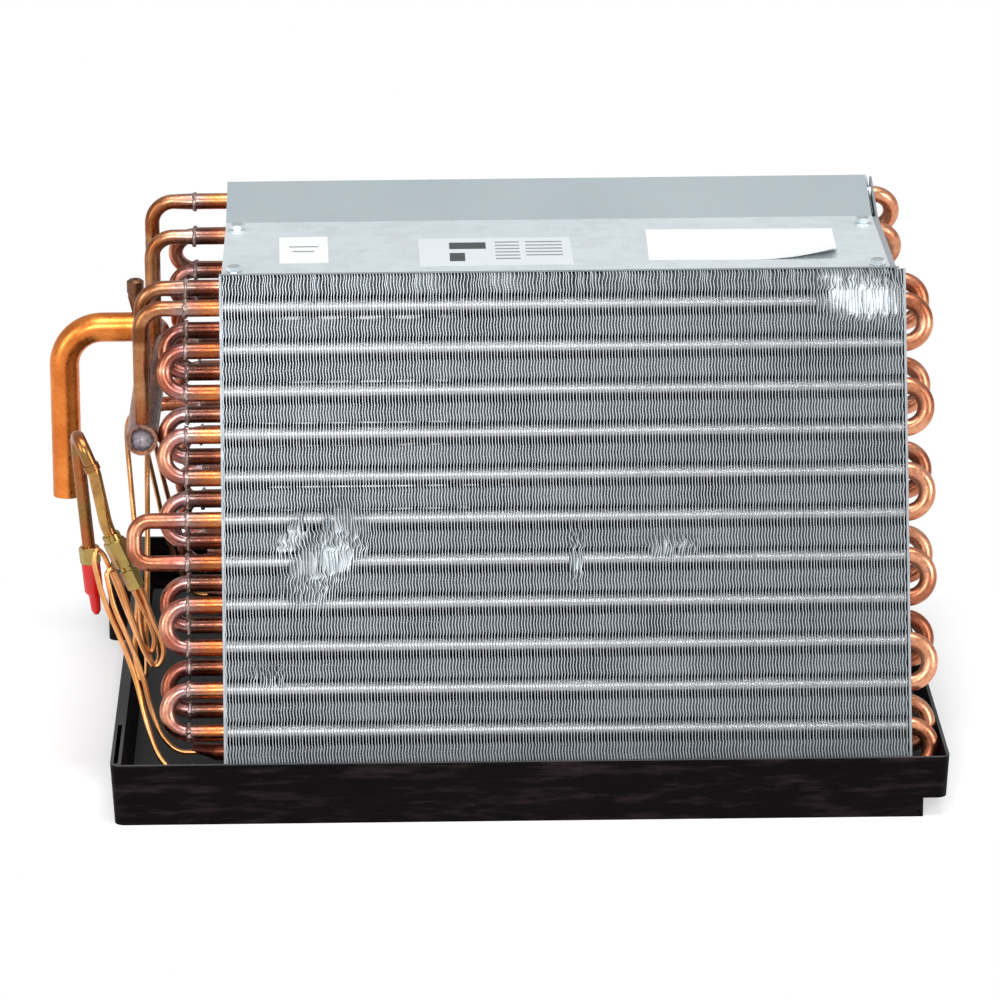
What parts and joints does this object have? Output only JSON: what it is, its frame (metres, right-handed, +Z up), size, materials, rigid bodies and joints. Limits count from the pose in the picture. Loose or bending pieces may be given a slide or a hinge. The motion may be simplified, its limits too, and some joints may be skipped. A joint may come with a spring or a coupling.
{
  "type": "a-coil evaporator",
  "caption": "A-shaped evaporator: finned-tube slabs lean together over a moulded drain pan under a folded cap, with copper return bends, header, distributor and capillaries.",
  "frame": {"origin": "middle of the unit's footprint (pan, drain boss and pipework), level with the drain pan's underside", "axes": "+Z up; X along the tubes, with the pipework on the -X side; Y across the A, with the slab called near on the -Y side"},
  "size_m": [0.548, 0.434, 0.3101],
  "materials": {
    "fins": "bare rippled foil, satin",
    "end_sheet": "galvanized sheet",
    "cap_sheet": "galvanized sheet, soft spangle",
    "delta_sheet": "galvanized sheet",
    "screw_steel": "zinc plated",
    "hairpin_copper": "drawn copper, bright",
    "bend_copper": "copper, heat stained at the brazes",
    "branch_copper": "copper, brown from brazing",
    "header_copper": "copper, violet brown from brazing",
    "line_copper": "drawn copper, bright",
    "capillary_copper": "drawn copper, dulled",
    "liquid_copper": "copper, golden brown",
    "plug_metal": "dull, heat stained",
    "fitting_brass": "machined brass, dulled",
    "red_plastic": "soft moulded plastic",
    "pan_plastic": "moulded, scuffed"
  },
  "bodies": {
    "root": {"access_port": "fitting_brass", "access_port_cap": "fitting_brass", "cap_screws": "screw_steel", "capillary_1": "capillary_copper", "capillary_2": "capillary_copper", "capillary_3": "capillary_copper", "capillary_4": "capillary_copper", "delta_screws": "screw_steel", "distributor_nut": "fitting_brass", "distributor_outlet": "fitting_brass", "distributor_tube": "liquid_copper", "drain_pan": "pan_plastic", "far_back_hairpin_1": "hairpin_copper", "far_back_hairpin_2": "hairpin_copper", "far_back_hairpin_3": "hairpin_copper", "far_back_hairpin_4": "hairpin_copper", "far_back_hairpin_5": "hairpin_copper", "far_back_hairpin_6": "hairpin_copper", "far_back_return_bends": "bend_copper", "far_back_suction_branch": "branch_copper", "far_fin_pack": "fins", "far_front_hairpin_1": "hairpin_copper", "far_front_hairpin_2": "hairpin_copper", "far_front_hairpin_3": "hairpin_copper", "far_front_hairpin_4": "hairpin_copper", "far_front_hairpin_5": "hairpin_copper", "far_front_hairpin_6": "hairpin_copper", "far_front_return_bends": "bend_copper", "far_front_suction_branch": "branch_copper", "far_left_end_plate": "end_sheet", "far_right_end_plate": "end_sheet", "flare_nut": "fitting_brass", "header_end_plug": "plug_metal", "left_delta_plate": "delta_sheet", "liquid_tube": "liquid_copper", "near_back_hairpin_1": "hairpin_copper", "near_back_hairpin_2": "hairpin_copper", "near_back_hairpin_3": "hairpin_copper", "near_back_hairpin_4": "hairpin_copper", "near_back_hairpin_5": "hairpin_copper", "near_back_hairpin_6": "hairpin_copper", "near_back_return_bends": "bend_copper", "near_back_suction_branch": "branch_copper", "near_fin_pack": "fins", "near_front_hairpin_1": "hairpin_copper", "near_front_hairpin_2": "hairpin_copper", "near_front_hairpin_3": "hairpin_copper", "near_front_hairpin_4": "hairpin_copper", "near_front_hairpin_5": "hairpin_copper", "near_front_hairpin_6": "hairpin_copper", "near_front_return_bends": "bend_copper", "near_front_suction_branch": "branch_copper", "near_left_end_plate": "end_sheet", "near_right_end_plate": "end_sheet", "protective_plug": "red_plastic", "right_delta_plate": "delta_sheet", "suction_header": "header_copper", "suction_line": "line_copper", "top_cap": "cap_sheet"}
  },
  "joints": []
}
